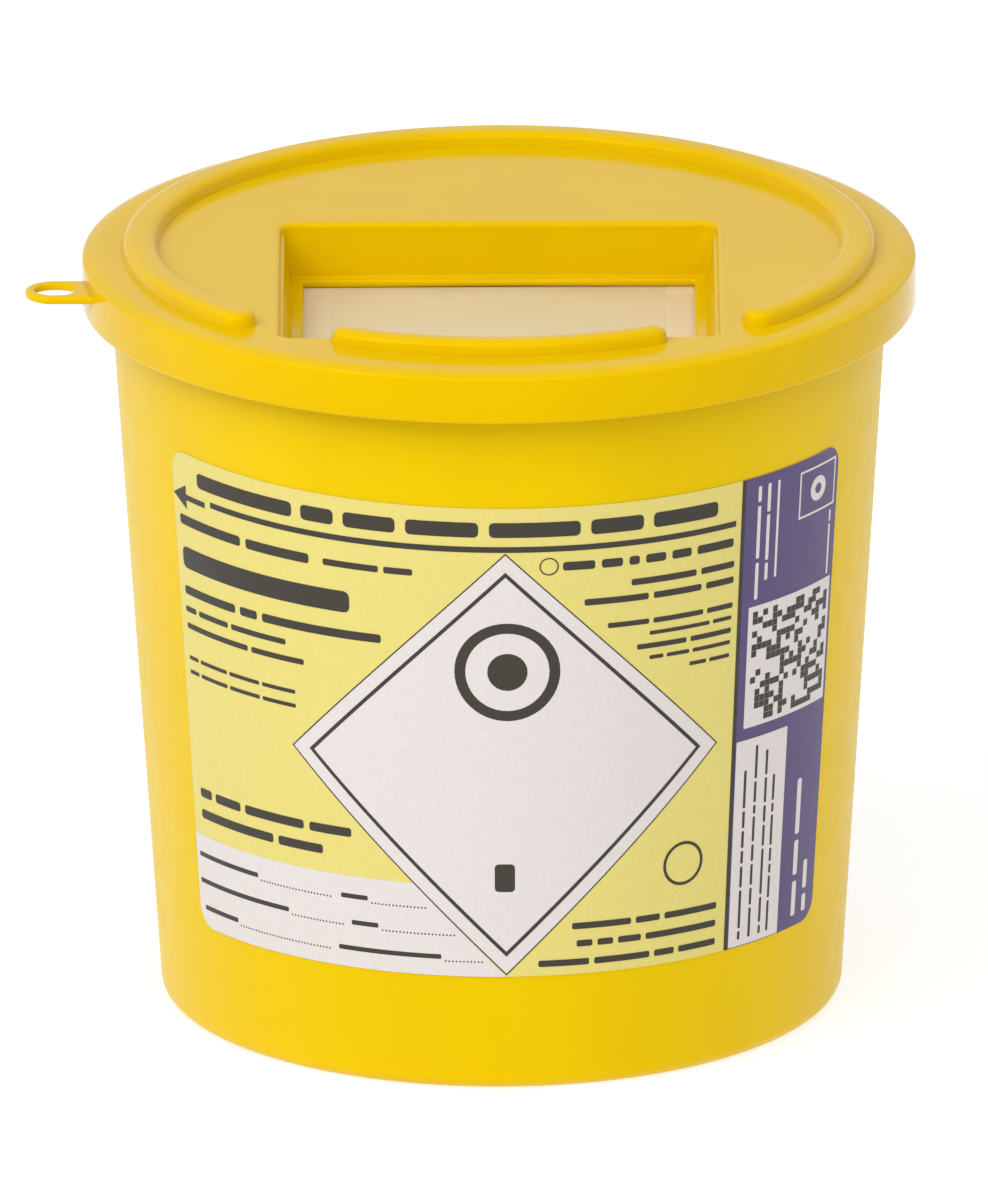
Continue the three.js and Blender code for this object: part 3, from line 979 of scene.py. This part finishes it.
def write_on_panel():
    """White panel at the lower left, cut along the diamond's edge."""
    corner = LABEL_CORNER
    slope_u = DIAMOND_U - (DIAMOND_HALF - (DIAMOND_V - PANEL_TOP))
    points = np.concatenate([
        arc(LABEL_U0 + corner, LABEL_BOTTOM + corner, corner, 180, 270, 8),
        [[DIAMOND_U, LABEL_BOTTOM], [slope_u, PANEL_TOP], [LABEL_U0, PANEL_TOP]],
    ])
    return [tuple(p) for p in points]


def dots(u0, u1, v):
    """A dotted line to write on."""
    return [bar(u, u + 0.42, v - 0.21, v + 0.21) for u in np.arange(u0 + 0.4, u1, 0.85)]


def dark_print():
    """Everything printed dark on the yellow and on the write-on panel."""
    shapes = []
    for u0, u1, v, thickness, words in PRINT_ROWS:
        shapes += line_of_bars(u0, u1, v, thickness, words, 0.4 + 0.55 * thickness)
    # fill line and its arrow
    shapes.append([(-70.2, 128.4), (54.3, 128.4), (54.3, 129.75), (-70.2, 129.75)])
    shapes.append([(-83.5, 128.45), (-78.7, 125.7), (-78.7, 131.2)])
    shapes.append([(-78.8, 127.8), (-72.1, 127.8), (-72.1, 129.1), (-78.8, 129.1)])
    # small plain rings
    shapes += ring_shapes(10.5, 124.9, 2.1, 1.8)
    shapes += ring_shapes(43.4, 50.6, 5.2, 4.5, 36)
    for v, first, second, third, fourth, fifth, last in WRITE_ROWS:
        shapes += line_of_bars(first, second - 0.4, v, 1.1, (1,))
        shapes += dots(second, third, v - 1.0)
        shapes += line_of_bars(fourth, fifth - 0.4, v - 0.2, 1.1, (1,))
        shapes += dots(fifth, last, v - 1.2)
    # separator beside the strip
    shapes.append([(STRIP_LEFT - SEPARATOR, LABEL_BOTTOM), (STRIP_LEFT, LABEL_BOTTOM),
                   (STRIP_LEFT, LABEL_TOP), (STRIP_LEFT - SEPARATOR, LABEL_TOP)])
    return shapes


def diamond_print():
    """Borders and plain round marks on the diamond."""
    shapes = diamond_frame(DIAMOND_U, DIAMOND_V, DIAMOND_HALF, 0.3)
    shapes += diamond_frame(DIAMOND_U, DIAMOND_V, DIAMOND_HALF - 4.5, 0.85)
    shapes += ring_shapes(1.5, 100.0, 11.6, 9.2, 48)
    shapes += ring_shapes(1.5, 100.0, 4.4, 0.05, 30)
    shapes.append(bar(-1.5, 3.1, 47.6, 54.2, 0.9))
    return shapes


BLOCKS = 17  # cells along each side of the plain block pattern
BLOCK_U = 60.2
BLOCK_V = 80.3
BLOCK_CELL = 26.4 / BLOCKS
BLOCK_GAP = 0.04

# Fine upright lines: place along the wrap, height of the top and relative word lengths.
FINE_ROWS = (
    (60.1, 69.2, (2, 9, 5, 3, 4, 4, 9)),
    (63.4, 74.5, (7, 4, 5, 4, 6, 2, 5, 8)),
    (66.8, 72.6, (2, 6, 11, 5, 4, 6, 6)),
    (69.5, 66.1, (7, 5, 2, 3, 7, 2, 6)),
)


def white_strip_print():
    """White areas on the purple strip."""
    shapes = [
        bar(58.9, 87.6, 79.3, 108.0, 0.3),
        bar(STRIP_LEFT + 0.3, 73.5, LABEL_BOTTOM + 0.2, 76.5, 0.3),
    ]
    shapes += upright_bars(60.8, 109.6, 136.4, 0.95, (7, 10, 3), 1.0)
    shapes += upright_bars(63.6, 113.6, 136.4, 0.95, (3, 8, 5), 0.7)
    shapes += upright_bars(66.5, 113.6, 136.4, 0.7, (14,), 0.7)
    shapes += upright_bars(85.9, 108.8, 123.8, 0.7, (9, 2), 0.6)
    shapes += upright_bars(79.5, 29.9, 62.4, 1.7, (5, 5, 8), 1.5)
    shapes += upright_bars(84.0, 29.9, 42.0, 1.7, (3, 5), 1.4)
    shapes += frame_shapes(73.5, 87.3, 125.0, 136.1, 0.5)
    shapes += ring_shapes(80.4, 130.6, 2.9, 1.2)
    return shapes


def strip_dark_print():
    """Dark blocks and fine upright lines on the strip's white areas."""
    pattern = np.random.default_rng(7).random((BLOCKS, BLOCKS)) < 0.5
    shapes = []
    for row, column in zip(*np.nonzero(pattern)):
        u0 = BLOCK_U + column * BLOCK_CELL + BLOCK_GAP
        v0 = BLOCK_V + row * BLOCK_CELL + BLOCK_GAP
        u1 = BLOCK_U + (column + 1) * BLOCK_CELL - BLOCK_GAP
        v1 = BLOCK_V + (row + 1) * BLOCK_CELL - BLOCK_GAP
        shapes.append([(u0, v0), (u1, v0), (u1, v1), (u0, v1)])
    for u, top, words in FINE_ROWS:
        shapes += upright_bars(u, 29.0, top, 0.75, words, 0.75)
    return shapes


def make_label():
    """The label's film and its print, each ink a thin layer on the one below."""
    film = wrapped("label_film_sheet", [label_base()], FILM_LIFT, FILM_THICKNESS, film_material)
    white_areas = [write_on_panel(), diamond(DIAMOND_U, DIAMOND_V, DIAMOND_HALF)]
    layers = [
        wrapped("label_purple", [purple_strip()], 0.18, INK_THICKNESS, purple_material),
        wrapped("label_white", white_areas, 0.18, 0.03, white_material),
        wrapped("label_dark", dark_print(), 0.22, INK_THICKNESS, ink_material),
        wrapped("label_diamond_border", diamond_print(), 0.22, INK_THICKNESS, ink_material),
        wrapped("label_strip_white", white_strip_print(), 0.22, INK_THICKNESS, white_material),
        wrapped("label_strip_dark", strip_dark_print(), 0.25, INK_THICKNESS, ink_material),
    ]
    return film, layers


# ---- stage ----
FLOOR_FACETS = 64
FLOOR_RADII = (500.0, 14000.0)  # of the middle disc and of the whole floor
FLOOR_BELOW = 0.02


def make_floor():
    """Plain pale floor, a disc with a ring round it."""
    turns = np.linspace(0, 2 * math.pi, FLOOR_FACETS, endpoint=False)
    rings = [circle_ring(radius, -FLOOR_BELOW, turns) for radius in FLOOR_RADII]
    floor = skin("floor", rings, caps=False)
    bm = bmesh.new()
    bm.from_mesh(floor.data)
    bm.verts.ensure_lookup_table()
    bm.faces.new([bm.verts[i] for i in range(FLOOR_FACETS)])
    bmesh.ops.recalc_face_normals(bm, faces=bm.faces)
    if sum(face.normal.z for face in bm.faces) < 0:
        bmesh.ops.reverse_faces(bm, faces=bm.faces)
    bm.to_mesh(floor.data)
    bm.free()
    nodes = Nodes("pale_floor")
    tone = nodes.ramp(nodes.noise(6.0), "Fac", [(0.3, (0.35,) * 3), (0.7, (0.37,) * 3)])
    nodes.link(tone, "Color", nodes.shader, "Base Color")
    nodes.shader.inputs["Roughness"].default_value = 0.7
    nodes.shader.inputs["Specular IOR Level"].default_value = 0.1
    nodes.shader.inputs["Emission Color"].default_value = (1.0, 1.0, 1.0, 1.0)
    nodes.shader.inputs["Emission Strength"].default_value = 0.7
    floor.data.materials.append(nodes.material)


def softbox(name, place, target, width, height, power):
    """Rectangular lamp at a place, turned to the target."""
    data = bpy.data.lights.new(name, "AREA")
    data.shape = "RECTANGLE"
    data.size = width
    data.size_y = height
    data.energy = power
    lamp = bpy.data.objects.new(name, data)
    bpy.context.scene.collection.objects.link(lamp)
    lamp.location = place
    direction = Vector(target) - Vector(place)
    lamp.rotation_euler = direction.to_track_quat("-Z", "Y").to_euler()


def make_light():
    world = bpy.data.worlds.new("studio")
    bpy.context.scene.world = world
    world.use_nodes = True
    background = world.node_tree.nodes["Background"]
    background.inputs["Color"].default_value = (1.0, 1.0, 1.0, 1.0)
    background.inputs["Strength"].default_value = 0.71
    centre = (0, 0, 0.09)
    softbox("key", (-1.5, -1.1, 1.5), centre, 1.2, 1.2, 14)
    softbox("overhead", (-0.3, -1.3, 1.75), centre, 2.2, 1.6, 22)


CAMERA_DISTANCE = 7.431
CAMERA_ELEVATION = 18.04
CAMERA_ROLL = -0.232
CAMERA_TARGET = (-0.0014, 0.0, 0.0899)
CAMERA_LENS = 996.0
CAMERA_SENSOR = 36.0


def make_camera():
    """Long-lens camera in front of the object, looking slightly down."""
    elevation = math.radians(CAMERA_ELEVATION)
    target = Vector(CAMERA_TARGET)
    place = Vector((
        0.0,
        -CAMERA_DISTANCE * math.cos(elevation),
        CAMERA_DISTANCE * math.sin(elevation) + target.z,
    ))
    ahead = (target - place).normalized()
    right = ahead.cross(Vector((0, 0, 1))).normalized()
    up = right.cross(ahead)
    roll = math.radians(CAMERA_ROLL)
    right, up = (math.cos(roll) * right + math.sin(roll) * up,
                 math.cos(roll) * up - math.sin(roll) * right)
    data = bpy.data.cameras.new("camera")
    data.sensor_fit = "VERTICAL"
    data.sensor_height = CAMERA_SENSOR
    data.lens = CAMERA_LENS
    data.clip_end = 100.0
    camera = bpy.data.objects.new("camera", data)
    bpy.context.scene.collection.objects.link(camera)
    rotation = Matrix((right, up, -ahead)).transposed()
    camera.matrix_world = Matrix.Translation(place) @ rotation.to_4x4()
    bpy.context.scene.camera = camera


make_camera()
make_light()
make_floor()
bpy.context.scene.view_settings.view_transform = "Standard"

tub = make_tub()
tub.data.materials.append(tub_material)
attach(tub, "tub")
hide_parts("tub")

lid = make_lid()
lid.data.materials.append(lid_material)
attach(lid, "lid")
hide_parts("lid")

door = make_door()
door.data.materials.append(door_material)
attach(door, "door")
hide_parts("sliding_door")

label, label_layers = make_label()
for piece in [label, *label_layers]:
    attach(piece, "tub")
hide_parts("front_label")
